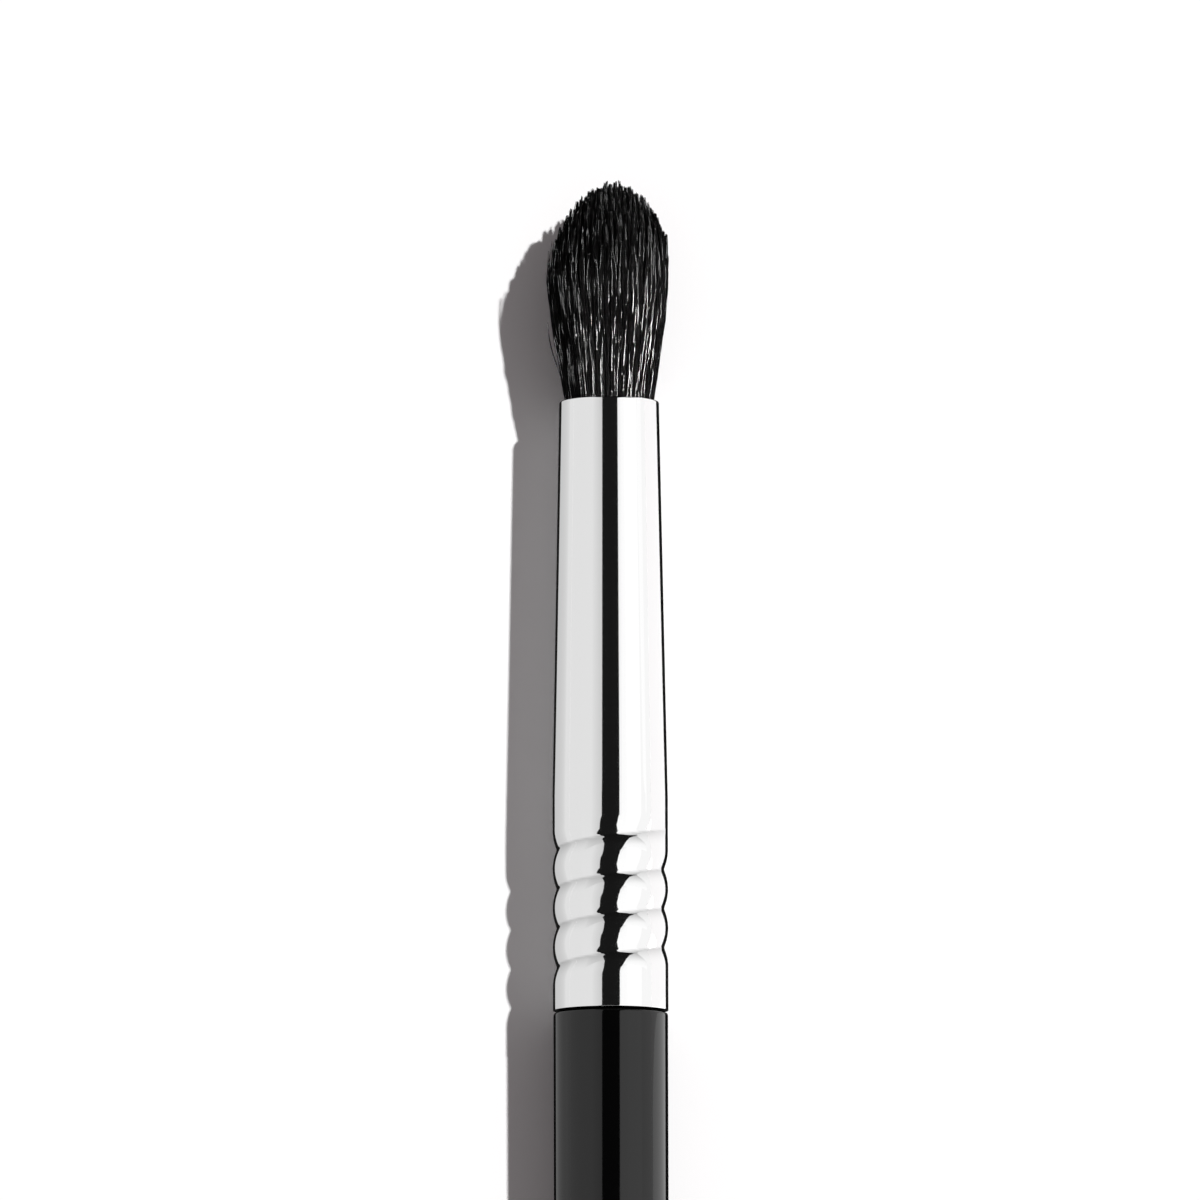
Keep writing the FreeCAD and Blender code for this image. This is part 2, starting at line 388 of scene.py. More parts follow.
def bright_plating(colour):
    # Plated brass, buffed on a spindle: a near mirror, with the faintest rings and a slow ripple of
    # the drawn tube that bends what it reflects. Shade is painted into its colour along the crimp's
    # groove.
    material, tree, output = new_material("plated_brass_buffed")
    # Painted shade: the plating is drawn greyer in the crimp's groove and on its wall towards the collar
    painted_groove_shade = add_node(tree, "ShaderNodeAttribute", attribute_name="painted_groove_shade").outputs["Fac"]
    grey = [GROOVE_SHADE_COLOUR * level for level in colour]
    plate = add_node(tree, "ShaderNodeMix", {"Factor": painted_groove_shade, "A": (*colour, 1), "B": (*grey, 1)},
                     data_type="RGBA")
    where = add_node(tree, "ShaderNodeTexCoord").outputs["Object"]
    rings = add_node(tree, "ShaderNodeMapping", {"Vector": where, "Scale": (0.04, 1, 0.04)})
    lines = add_node(tree, "ShaderNodeTexNoise", {
        "Vector": rings.outputs["Vector"], "Scale": per_size(0.12), "Detail": 2})
    gloss = add_node(tree, "ShaderNodeMapRange", {
        "Value": lines.outputs["Fac"], "From Min": 0.3, "From Max": 0.7,
        "To Min": 0.03, "To Max": 0.07})
    ripple = add_node(tree, "ShaderNodeTexNoise", {"Vector": where, "Scale": per_size(6), "Detail": 0})
    bump = add_node(tree, "ShaderNodeBump", {
        "Height": ripple.outputs["Fac"], "Strength": 0.12, "Distance": 0.02 * MM})
    shader = add_node(tree, "ShaderNodeBsdfPrincipled", {
        "Metallic": 1, "Roughness": gloss.outputs["Result"], "Normal": bump.outputs["Normal"]})
    tree.links.new(plate.outputs["Result"], shader.inputs["Base Color"])
    tree.links.new(shader.outputs["BSDF"], output.inputs["Surface"])
    return material


def black_lacquer(colour):
    # Several sprayed coats over turned wood, polished: deep gloss with a trace of orange peel.
    material, tree, output = new_material("lacquered_wood_gloss")
    where = add_node(tree, "ShaderNodeTexCoord").outputs["Object"]
    mist = add_node(tree, "ShaderNodeTexNoise", {"Vector": where, "Scale": per_size(0.5), "Detail": 3})
    gloss = add_node(tree, "ShaderNodeMapRange", {
        "Value": mist.outputs["Fac"], "From Min": 0.3, "From Max": 0.7, "To Min": 0.04, "To Max": 0.08})
    peel = add_node(tree, "ShaderNodeTexNoise", {"Vector": where, "Scale": per_size(1.6), "Detail": 1})
    bump = add_node(tree, "ShaderNodeBump", {
        "Height": peel.outputs["Fac"], "Strength": 0.1, "Distance": 0.02 * MM})
    shader = add_node(tree, "ShaderNodeBsdfPrincipled", {
        "Base Color": (*colour, 1), "Roughness": gloss.outputs["Result"], "IOR": 1.5,
        "Normal": bump.outputs["Normal"]})
    tree.links.new(shader.outputs["BSDF"], output.inputs["Surface"])
    return material


def dyed_hair(name, dark, light, roughest, smoothest, shine):
    # Dyed animal hair: nearly black, each hair a little different. Where its scales lie flat it is
    # silky, and where they stand up it is dull. Seen at a slant, the scales hide each other's shine.
    material, tree, output = new_material(name)
    tone = add_node(tree, "ShaderNodeAttribute", attribute_name="tone").outputs["Fac"]
    colour = add_node(tree, "ShaderNodeMix", {"Factor": tone, "A": (*dark, 1), "B": (*light, 1)},
                      data_type="RGBA")
    gloss = add_node(tree, "ShaderNodeMapRange", {
        "Value": tone, "To Min": roughest, "To Max": smoothest})
    where = add_node(tree, "ShaderNodeTexCoord").outputs["Object"]
    strands = add_node(tree, "ShaderNodeMapping", {"Vector": where, "Scale": (1, 0.18, 1)})
    scales = add_node(tree, "ShaderNodeTexNoise", {
        "Vector": strands.outputs["Vector"], "Scale": per_size(0.14), "Detail": 2})
    bump = add_node(tree, "ShaderNodeBump", {
        "Height": scales.outputs["Fac"], "Strength": 0.7, "Distance": 0.04 * MM})
    slant = add_node(tree, "ShaderNodeLayerWeight").outputs["Facing"]
    sheen = add_node(tree, "ShaderNodeMapRange", {
        "Value": slant, "From Min": 0.2, "From Max": 0.6, "To Min": shine, "To Max": 0.1 * shine})
    shader = add_node(tree, "ShaderNodeBsdfPrincipled", {
        "Roughness": gloss.outputs["Result"], "IOR": 1.55,
        "Specular IOR Level": sheen.outputs["Result"], "Normal": bump.outputs["Normal"]})
    tree.links.new(colour.outputs["Result"], shader.inputs["Base Color"])
    tree.links.new(shader.outputs["BSDF"], output.inputs["Surface"])
    return material


def cotton_thread():
    # Waxed cotton: off-white, with a fine twist that shows as slanting bands.
    material, tree, output = new_material("cotton_thread_waxed")
    where = add_node(tree, "ShaderNodeTexCoord").outputs["Object"]
    twist = add_node(tree, "ShaderNodeTexWave", {
        "Vector": where, "Scale": per_size(0.25) / 20, "Distortion": 1.5, "Detail": 2},
        bands_direction="DIAGONAL")
    colour = add_node(tree, "ShaderNodeValToRGB", {"Fac": twist.outputs["Fac"]})
    colour.color_ramp.elements[0].color = (*linear("#b3a88f"), 1)
    colour.color_ramp.elements[1].color = (*linear("#d9d0bc"), 1)
    bump = add_node(tree, "ShaderNodeBump", {
        "Height": twist.outputs["Fac"], "Strength": 0.5, "Distance": 0.05 * MM})
    shader = add_node(tree, "ShaderNodeBsdfPrincipled", {
        "Base Color": colour.outputs["Color"], "Roughness": 0.7, "Normal": bump.outputs["Normal"]})
    tree.links.new(shader.outputs["BSDF"], output.inputs["Surface"])
    return material


def set_glue(name, pale, deep, cell, roughness):
    # Glue that has set: a smooth skin, cloudy where it is thick.
    material, tree, output = new_material(name)
    where = add_node(tree, "ShaderNodeTexCoord").outputs["Object"]
    cloud = add_node(tree, "ShaderNodeTexNoise", {"Vector": where, "Scale": per_size(cell), "Detail": 3})
    colour = add_node(tree, "ShaderNodeValToRGB", {"Fac": cloud.outputs["Fac"]})
    colour.color_ramp.elements[0].color = (*linear(deep), 1)
    colour.color_ramp.elements[1].color = (*linear(pale), 1)
    bump = add_node(tree, "ShaderNodeBump", {
        "Height": cloud.outputs["Fac"], "Strength": 0.2, "Distance": 0.05 * MM})
    shader = add_node(tree, "ShaderNodeBsdfPrincipled", {
        "Base Color": colour.outputs["Color"], "Roughness": roughness, "IOR": 1.5,
        "Normal": bump.outputs["Normal"]})
    tree.links.new(shader.outputs["BSDF"], output.inputs["Surface"])
    return material


# Pieces

# Straight bit of the ferrule under its rounded lip
LIP_STRAIGHT = 0.04 * MM


class EYESHADOW_OT_ferrule(bpy.types.Operator):
    """Make the plated ferrule: a thin tube, tapered to a rounded mouth, with a helical crimp"""
    bl_idname = "eyeshadow.ferrule"
    bl_label = "Ferrule"

    def execute(self, context):
        ferrule = context.scene.eyeshadow_ferrule
        length = COLLAR_Y - MOUTH_Y
        collar = ferrule.collar_diameter / 2
        mouth = ferrule.mouth_diameter / 2
        rim = context.scene.eyeshadow_handle.collar_gap / 2
        bm, verts = chain([place(*point) for point in (
            (collar - ferrule.wall, rim),
            (collar, rim),
            (collar, rim + 2 * ferrule.rim_break),
            (collar, ferrule.straight_length),
            (mouth, length - ferrule.lip_round - LIP_STRAIGHT),
            (mouth, length),
            (mouth - ferrule.wall, length),
            (collar - ferrule.wall, ferrule.straight_length),
        )], closed=True)
        round_vertex(bm, verts[1], ferrule.rim_break, segments=3)
        round_vertex(bm, verts[5], ferrule.lip_round, segments=8)
        divide(bm, 0, ferrule.straight_length, STRAIGHT_CUTS)
        divide(bm, ferrule.straight_length, length - ferrule.lip_round, TAPER_CUTS)
        turn(bm, ROUND_STEPS)
        press_crimp(bm, ferrule)
        # Paints shade along the crimp's groove, to darken the plating's colour there
        paint_crimp_shade(bm, ferrule)
        piece = make_piece(bm, "plated_ferrule", bright_plating(ferrule.plating))
        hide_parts("ferrule")
        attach(piece, HOLDER)
        return {"FINISHED"}


# Step down from the tenon at its two ends, and the slope that breaks its upper end
TENON_STEP = 0.25 * MM
TENON_SLOPE = 0.4 * MM
# Crown of the handle's shoulder: how far it comes in, how far it keeps the directions of its ends, and
# the edge just under it that keeps the grip's shading straight
CROWN_IN = 0.09 * MM
CROWN_SIDE = 0.1 * MM
CROWN_TOP = 0.05 * MM
CROWN_EDGE = 0.05 * MM
# Where the groove behind the ferrule's rim starts and ends, as shares of the collar's gap
GROOVE = (0.1, 0.6)


class EYESHADOW_OT_handle(bpy.types.Operator):
    """Make the lacquered handle: a slim stick with a round tail and a crimped tenon"""
    bl_idname = "eyeshadow.handle"
    bl_label = "Handle"

    def execute(self, context):
        handle = context.scene.eyeshadow_handle
        ferrule = context.scene.eyeshadow_ferrule
        grip = handle.diameter / 2
        tail = handle.tail_diameter / 2
        tenon = ferrule.collar_diameter / 2 - ferrule.wall - handle.tenon_gap
        tenon_seat = tenon - TENON_STEP
        tenon_end = COLLAR_Y - TENON_Y
        tail_end = COLLAR_Y - TAIL_Y
        shoulder_low = -handle.shoulder_length
        grip_end = shoulder_low - handle.grip_length
        taper = sweep(
            (tail, tail_end + tail), (tail, tail_end + tail + handle.tail_sweep),
            (grip, grip_end - handle.grip_sweep), (grip, grip_end), steps=48)
        shoulder = -handle.collar_gap / 2
        crown = sweep(
            (grip, shoulder_low), (grip, shoulder_low + CROWN_SIDE),
            (grip - CROWN_IN + CROWN_TOP, shoulder), (grip - CROWN_IN, shoulder), steps=10)
        groove_start, groove_end = (share * handle.collar_gap for share in GROOVE)
        outline = [(0, tail_end), (tail, tail_end)] + taper
        outline += [(grip, shoulder_low - CROWN_EDGE)] + crown
        outline += [(tenon_seat, groove_start), (tenon, groove_end), (tenon, ferrule.straight_length)]
        outline += [(tenon_seat, ferrule.straight_length), (tenon_seat, tenon_end), (0, tenon_end)]
        bm, verts = chain([place(*point) for point in outline])
        # A full half circle would leave two vertices in one place
        round_vertex(bm, verts[1], 0.999 * tail, segments=16)
        round_vertex(bm, verts[-2], TENON_SLOPE, segments=1)
        divide(bm, 0, ferrule.straight_length, STRAIGHT_CUTS)
        turn(bm, ROUND_STEPS)
        press_crimp(bm, ferrule)
        piece = make_piece(bm, "lacquered_handle", black_lacquer(handle.lacquer))
        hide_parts("handle")
        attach(piece, HOLDER)
        return {"FINISHED"}


# The tuft's outline: how far it keeps the directions of the neck, the belly and the tip, how much the
# outer hairs lean in above the belly, by the square of the height, and how far inside they lie
NECK_PULL = 3.6 * MM
BELLY_PULL = 1.8 * MM
DOME_PULL = 3.6 * MM
TIP_PULL = 1.6 * MM
LEAN_IN = 0.0045 / MM ** 2
HAIR_INSET = 0.1 * MM

# Where hairs lie, as shares of the tuft's radius: the outer layer, how far out the clumps go and how
# loosely, and the dome's centre, which stands a little off the axis
OUTER_LAYER = (0.86, 1)
CLUMP_REACH = 1.03
CLUMP_SCATTER = 0.012
DOME_CENTRE = (-0.05, 0)
GOLDEN_ANGLE = math.pi * (3 - math.sqrt(5))

# How long hairs are: how far the clumps stand out of the dome, how much further on one side, how few go
# so far, and how ragged their tips are. Some hairs are shorter, by shares.
CLUMP_LIFT = 0.44 * MM
SIDE_LIFT = 0.34 * MM
LIFT_POWER = 1.7
RAGGED = 0.13 * MM
SHORT_SHARE = 0.1
SHORTENED = (0.6, 0.95)

# How a hair runs: from its root in the ferrule, drawn to its clump a little along its length and much
# more near its tip, with a gentle sway of some waves
HAIR_POINTS = 14
POINT_POWER = 0.9
ROOT_DEPTH = 2 * MM
ROOT_SQUEEZE = 0.02
STRAND_PULL = 0.14
STRAND_START = 4 * MM
TIP_PULLS = (0.82, 1)
TIP_GATHER = 2.2 * MM
WAVES = (1.5, 3.6)
SWAY = (0.02 * MM, 0.08 * MM)
SWAY_START = 2 * MM

# Stray hairs come from the outside, mostly on one side, and stand off this far
STRAY_FROM = 0.93
STRAY_SCATTER = 0.25
STRAY_OFF = (0.1 * MM, 0.5 * MM)

# Hairs differ in thickness and tone. They taper from a share of their length, by a share of thickness.
THICKNESS = (0.8, 1.2)
TAPER_FROM = 0.85
TAPER = 0.6
TONE = (1.3, 2.4)


class HairBundle:
    """The tuft's outline, and the hairs that fill it, in heights above the mouth."""

    def __init__(self, tuft, ferrule):
        bore = ferrule.mouth_diameter / 2 - ferrule.wall
        belly = tuft.belly_diameter / 2
        self.length = MOUTH_Y - TIP_Y
        self.belly_height = tuft.belly_height
        neck = sweep(
            (bore, 0), (bore + NECK_PULL * math.tan(tuft.neck_angle), NECK_PULL),
            (belly, tuft.belly_height - BELLY_PULL), (belly, tuft.belly_height), steps=40)
        dome = sweep(
            (belly, tuft.belly_height), (belly, tuft.belly_height + DOME_PULL),
            (TIP_PULL, self.length), (0, self.length), steps=60)
        self.neck_radii, self.neck_heights = np.array(neck).T
        self.dome_radii, self.dome_heights = np.array(dome).T

    def spread(self, height):
        """Radius of the outermost hairs, which lean in again above the belly."""
        past = np.maximum(0, height - self.belly_height)
        lean = 1 - LEAN_IN * past * past
        return (np.interp(height, self.neck_heights, self.neck_radii) - HAIR_INSET) * lean

    def dome(self, height):
        """Radius of the dome, which the tips reach."""
        return np.interp(height, self.dome_heights, self.dome_radii)

    def reach(self, share):
        """Height at which a hair at this share of the spread meets the dome."""
        heights = np.linspace(self.belly_height, self.length, num=200)
        shares = self.dome(heights) / self.spread(heights)
        return np.interp(share, shares[::-1], heights[::-1])


def on_disc(share, angle):
    """Places on a disc of radius 1, one in each row."""
    return np.stack([np.cos(angle), np.sin(angle)], axis=1) * share[:, None]


def comb_hairs(tuft, bundle):
    """Points, thickness, tone and silkiness of every hair: fanned out, and gathered in fine strands."""
    rng = np.random.default_rng(tuft.seed)
    count = tuft.hairs
    outer = count // 3
    share = np.sqrt(rng.random(count))
    share[:outer] = rng.uniform(*OUTER_LAYER, outer)
    angle = rng.random(count) * math.tau
    share = rng.permutation(share)
    root = on_disc(share, angle)

    order = np.arange(tuft.clumps)
    centre = on_disc(CLUMP_REACH * np.sqrt((order + 0.5) / tuft.clumps), order * GOLDEN_ANGLE)
    centre += rng.normal(0, CLUMP_SCATTER, centre.shape)
    tree = KDTree(tuft.clumps)
    for clump in order:
        tree.insert((*centre[clump], 0), clump)
    tree.balance()
    nearest = np.array([tree.find((*spot, 0))[1] for spot in root])
    most_lift = CLUMP_LIFT + SIDE_LIFT * np.maximum(0, -centre[:, 0])
    clump_lift = most_lift * rng.random(tuft.clumps) ** LIFT_POWER
    tip = bundle.reach(np.linalg.norm(centre - DOME_CENTRE, axis=1))[nearest] + clump_lift[nearest]
    tip -= np.abs(rng.normal(0, RAGGED, count))
    short = rng.random(count) < SHORT_SHARE
    tip[short] *= rng.uniform(*SHORTENED, short.sum())

    along = np.linspace(0, 1, HAIR_POINTS)[None, :] ** POINT_POWER
    height = -ROOT_DEPTH + (tip + ROOT_DEPTH)[:, None] * along
    strand = STRAND_PULL * ease(height / STRAND_START)
    pull = rng.uniform(*TIP_PULLS, count)[:, None]
    gather = strand + (pull - strand) * ease(1 - (tip[:, None] - height) / TIP_GATHER)
    spot = root[:, None, :] + (centre[nearest] - root)[:, None, :] * gather[..., None]
    spread = bundle.spread(np.maximum(0, height)) * (1 - ROOT_SQUEEZE * (height < 0))
    spot = spot * spread[..., None]

    phase = rng.random((count, 1, 2)) * math.tau
    waves = rng.uniform(*WAVES, (count, 1, 2)) * math.tau
    sway = rng.uniform(*SWAY, (count, 1, 2)) * ease(height / SWAY_START)[..., None]
    spot = spot + sway * np.sin(along[..., None] * waves + phase)

    facing = np.cos(angle) * (share > STRAY_FROM)
    strays = np.argsort(-facing - rng.normal(0, STRAY_SCATTER, count))[:tuft.strays]
    fling = np.zeros(count)
    fling[strays] = rng.uniform(*STRAY_OFF, len(strays))
    outwards = on_disc(np.ones(count), angle)
    spot = spot + outwards[:, None, :] * (fling[:, None] * ease(height / tip[:, None]))[..., None]

    points = np.stack([spot[..., 0], MOUTH_Y - height, spot[..., 1]], axis=2)
    thickness = 1 - TAPER * ease((along - TAPER_FROM) / (1 - TAPER_FROM)) + np.zeros((count, 1))
    thickness *= rng.uniform(*THICKNESS, (count, 1))
    tone = rng.beta(*TONE, count)
    silky = rng.random(count) < tuft.silky
    return points, thickness, tone, silky


def hair_piece(name, points, thickness, tone, diameter, material):
    """Makes one piece of tapered tubes along the hairs' points, with their tone as an attribute."""
    curve = bpy.data.curves.new(name, "CURVE")
    curve.dimensions = "3D"
    curve.bevel_depth = diameter / 2
    curve.bevel_resolution = 0
    curve.use_fill_caps = True
    for hair_points, hair_thickness in zip(points, thickness):
        spline = curve.splines.new("POLY")
        spline.points.add(HAIR_POINTS - 1)
        spline.points.foreach_set("co", np.insert(hair_points, 3, 1, axis=1).ravel())
        spline.points.foreach_set("radius", hair_thickness)
    source = bpy.data.objects.new(name, curve)
    mesh = bpy.data.meshes.new_from_object(source)
    bpy.data.objects.remove(source)
    mesh.name = name
    mesh.shade_smooth()
    each = len(mesh.vertices) // len(points)
    mesh.attributes.new("tone", "FLOAT", "POINT").data.foreach_set("value", np.repeat(tone, each))
    return place_piece(mesh, name, material)


# The core: its share of the hairs' spread, how far under the dome it stays, and its heights
CORE_SHARE = 0.86
CORE_UNDER = 1.3 * MM
CORE_START = 1 * MM
CORE_END = 12.8 * MM
CORE_TOP = 13.1 * MM
# The tied roots: room in the bore, how far under the mouth they fill it, and the waist for the thread
ROOT_GAP = 0.06 * MM
ROOT_TOP = 0.6 * MM
WAIST_DEPTH = 0.35 * MM
WAIST_SLOPE = 0.3 * MM
WAIST_LOW = 1.4 * MM
WAIST_HIGH = 4.1 * MM
# Kinds of hair: roughest and smoothest finish, shine, and the number of pieces that keep each one small
DULL = (0.7, 0.45, 0.02)
SILKY = (0.22, 0.1, 0.6)
DULL_PARTS = 4
SILKY_PARTS = 2


class EYESHADOW_OT_tuft(bpy.types.Operator):
    """Make the tuft: a packed core with its tied roots, and the loose hairs round it"""
    bl_idname = "eyeshadow.tuft"
    bl_label = "Tuft"

    def execute(self, context):
        tuft = context.scene.eyeshadow_tuft
        ferrule = context.scene.eyeshadow_ferrule
        bundle = HairBundle(tuft, ferrule)
        dull = dyed_hair("goat_hair_dyed_dull", tuft.dark, tuft.light, *DULL)
        silky = dyed_hair("goat_hair_dyed_silky", tuft.dark, tuft.light, *SILKY)
        length = COLLAR_Y - MOUTH_Y
        root_end = COLLAR_Y - ROOT_Y
        bore = ferrule.mouth_diameter / 2 - ferrule.wall - ROOT_GAP
        waist = bore - WAIST_DEPTH
        waist_low = root_end + WAIST_LOW
        waist_high = length - WAIST_HIGH
        core = [
            (CORE_SHARE * min(bundle.spread(height), bundle.dome(height + CORE_UNDER)), length + height)
            for height in np.linspace(CORE_START, CORE_END, CORE_RINGS)
        ]
        outline = [(0, root_end), (bore, root_end), (bore, waist_low - WAIST_SLOPE), (waist, waist_low)]
        outline += [(waist, waist_high), (bore, waist_high + WAIST_SLOPE), (bore, length - ROOT_TOP)]
        outline += core + [(0, length + CORE_TOP)]
        bm, _ = chain([place(*point) for point in outline])
        turn(bm, CORE_STEPS)
        pieces = [make_piece(bm, "tuft_core", dull)]
        points, thickness, tone, shines = comb_hairs(tuft, bundle)
        kinds = (("dull", dull, ~shines, DULL_PARTS), ("silky", silky, shines, SILKY_PARTS))
        for kind, hair, chosen, parts in kinds:
            hairs = np.flatnonzero(chosen)
            for part in range(parts):
                some = hairs[part::parts]
                pieces.append(hair_piece(
                    "tuft_hairs_%s_%d" % (kind, part + 1), points[some], thickness[some], tone[some],
                    tuft.hair_diameter, hair))
        collection = bpy.data.collections.new("hair")
        for piece in pieces:
            collection.objects.link(piece)
            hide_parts("bristle_tuft")
            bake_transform(piece)
        return {"FINISHED"}


class EYESHADOW_OT_fixings(bpy.types.Operator):
    """Give the thread and the glue inside the ferrule their materials"""
    bl_idname = "eyeshadow.fixings"
    bl_label = "Thread and Glue"

    def execute(self, context):
        finishes = {
            "binding_thread": cotton_thread(),
            "root_glue": set_glue("epoxy_resin_set", "#d9b365", "#a87628", 1.5, 0.2),
            "tenon_glue": set_glue("wood_glue_set", "#d8c592", "#b39a5e", 0.8, 0.35),
        }
        for node, material in finishes.items():
            mesh = frame["nodes"][node].data
            mesh.materials.clear()
            mesh.materials.append(material)
        return {"FINISHED"}


# Stage

# The room: half the table's width, the cards' heights, where the cards end beyond the tip, the left
# wall, and how far the cards on the table reach along the brush and lie over the table
TABLE = 6
CARD_HEIGHT = 0.5
GAP_HEIGHT = 0.498
STRIP_HEIGHT = 0.4
TIP_WALL_Y = MOUTH_Y - GAP_HEIGHT * math.tan(math.radians(72))
LEFT_WALL_X = 0.866
REACH = 0.3
OVER_TABLE = 0.02 * MM

# Cards over the mouth, with their corners as angles across and along, in degrees off the vertical.
# The gap is the dark room that shows between the softboxes, and hangs just under them.
OVERHEAD_GAP = [
    (-27, 70), (-25.4, 39.1), (-20.3, 33.9), (-16.5, 24), (-16.8, 12.2), (-17.2, 2), (-18.2, -0.65),
    (-19.2, -10), (-22.7, -16.2), (-32.3, -35.2), (-41.5, -45.5), (-51.5, -51.5), (-60, -57),
    (-70, -66), (-72.5, -72), (50, -72), (40, -60), (29, -47.3), (22, -41), (17, -32.4),
    (15.5, -15.5), (16, -6), (17.3, -0.65), (18.4, 2), (19, 12.2), (19.3, 28), (29, 39.5), (30, 70),
]
# Name, two opposite corners, and the grey level of all corners or of each
SOFTBOXES = (
    ("left_softbox_edge", (10, 70), (38, -36), [0.6, 0.82, 0.8, 0.6]),
    ("left_softbox", (38, 70), (60, -36), [0.82, 0.82, 0.8, 0.8]),
    ("left_softbox_end", (10, -36), (60, -72), [0.6, 0.8, 0.7, 0]),
    ("right_softbox_edge", (-12, 14), (-34, -20), [1.05, 1.07, 1.05, 0.7]),
    ("right_softbox_low", (-12, 70), (-34, 14), 1.07),
    ("right_softbox", (-34, 70), (-65, -20), 1.09),
    ("right_softbox_top", (-12, -20), (-78, -58), [1.05, 1.09, 0.95, 0.42]),
)
# Strips of light that shine on the hair alone: two over it, and a low one at its left, whose corners
# are places along the mouth and heights
HAIR_STRIPS = (
    ("right_strip", (-38, 6), (-60, 24), 225),
    ("right_strip_top", (-38, -2), (-60, -28), 37),
)
SIDE_STRIP_X = 0.6
SIDE_STRIP = ((0.06, 0.08), (-0.22, 0.2))
SIDE_STRIP_LEVEL = 40
# Levels of the dark gap and the two walls
GAP_LEVEL = 0.009
TIP_WALL_LEVEL = 0.004
LEFT_WALL_LEVEL = 0.8
# Cards on the table, with their corners in metres: dark under the brush, and light at its sides
TABLE_CARDS = (
    ("under_brush", (-7.3 * MM, -REACH), (6.8 * MM, REACH), 0.01),
    ("left_table", (6.8 * MM, -REACH), (33 * MM, REACH), [0.6, 0.8, 0.8, 0.6]),
    ("left_table_far", (33 * MM, -REACH), (LEFT_WALL_X, REACH), 0.8),
    ("right_table", (-0.1, COLLAR_Y - 1.5 * MM), (-7.7 * MM, REACH), 1.5),
)
# Walls, with their corners as places along them and heights
TIP_WALL = ((-1.6, 0), (0.6, GAP_HEIGHT))
LEFT_WALL = ((TIP_WALL_Y, 0), (1.4, CARD_HEIGHT))
# Way to the lamp, and the point that the camera aims at
SUN_WAY = (-0.63, -0.45, 1)
AIM = (0.64 * MM, MOUTH_Y + 13.26 * MM, 0)


def rectangle(start, end):
    """Corners of a rectangle from two that are opposite."""
    return [start, (end[0], start[1]), end, (start[0], end[1])]


def seen_direct(tree):
    """1 for rays from the camera and for those that a mirror or glass passes on."""
    rays = add_node(tree, "ShaderNodeLightPath")
    mirrored = add_node(tree, "ShaderNodeMath", operation="MAXIMUM")
    tree.links.new(rays.outputs["Is Glossy Ray"], mirrored.inputs[0])
    tree.links.new(rays.outputs["Is Transmission Ray"], mirrored.inputs[1])
    seen = add_node(tree, "ShaderNodeMath", operation="MAXIMUM")
    tree.links.new(rays.outputs["Is Camera Ray"], seen.inputs[0])
    tree.links.new(mirrored.outputs["Value"], seen.inputs[1])
    return seen.outputs["Value"]


def white_table():
    # Matt white board, which is drawn whiter to the camera and to mirrors than the light it gives back.
    material, tree, output = new_material("white_board_matt")
    white = add_node(tree, "ShaderNodeMix", {
        "Factor": seen_direct(tree), "A": (0.8, 0.8, 0.8, 1), "B": (1, 1, 1, 1)}, data_type="RGBA")
    board = add_node(tree, "ShaderNodeBsdfDiffuse")
    tree.links.new(white.outputs["Result"], board.inputs["Color"])
    tree.links.new(board.outputs["BSDF"], output.inputs["Surface"])
    return material


def add_sheet(name, corners, material):
    """Flat stage sheet through its corners."""
    bm, _ = chain(corners, closed=True)
    bmesh.ops.contextual_create(bm, geom=bm.edges[:])
    mesh = bpy.data.meshes.new(name)
    bm.to_mesh(mesh)
    bm.free()
    mesh.materials.append(material)
    sheet = bpy.data.objects.new(name, mesh)
    bpy.context.scene.collection.objects.link(sheet)
    return sheet


def add_mirrored(name, corners, levels, only=None):
    """Sheet that only shows in reflections, with a grey level at each corner: 0 is black and 1 white.

    Where a collection is given, it shows on the pieces in that, and the others see past it."""
    material, tree, output = new_material(name)
    level = add_node(tree, "ShaderNodeAttribute", attribute_name="level").outputs["Fac"]
    glow = add_node(tree, "ShaderNodeEmission", {"Strength": level})
    if only:
        clear = add_node(tree, "ShaderNodeBsdfTransparent")
        film = add_node(tree, "ShaderNodeAddShader")
        tree.links.new(glow.outputs["Emission"], film.inputs[0])
        tree.links.new(clear.outputs["BSDF"], film.inputs[1])
        tree.links.new(film.outputs["Shader"], output.inputs["Surface"])
    else:
        tree.links.new(glow.outputs["Emission"], output.inputs["Surface"])
    sheet = add_sheet(name, corners, material)
    sheet.light_linking.receiver_collection = only
    shades = np.broadcast_to(np.array(levels, dtype=float), len(corners))
    sheet.data.attributes.new("level", "FLOAT", "POINT").data.foreach_set("value", shades)
    sheet.visible_camera = False
    sheet.visible_diffuse = False
    sheet.visible_transmission = False
    sheet.visible_shadow = False
    sheet.visible_volume_scatter = False


def add_card(name, height, corners, levels, only=None):
    """Level studio card above the mouth, with its corners as angles off the vertical, in degrees."""
    places = [[height * math.tan(math.radians(angle)) for angle in corner] for corner in corners]
    add_mirrored(name, [(across, MOUTH_Y + along, height) for across, along in places], levels, only)


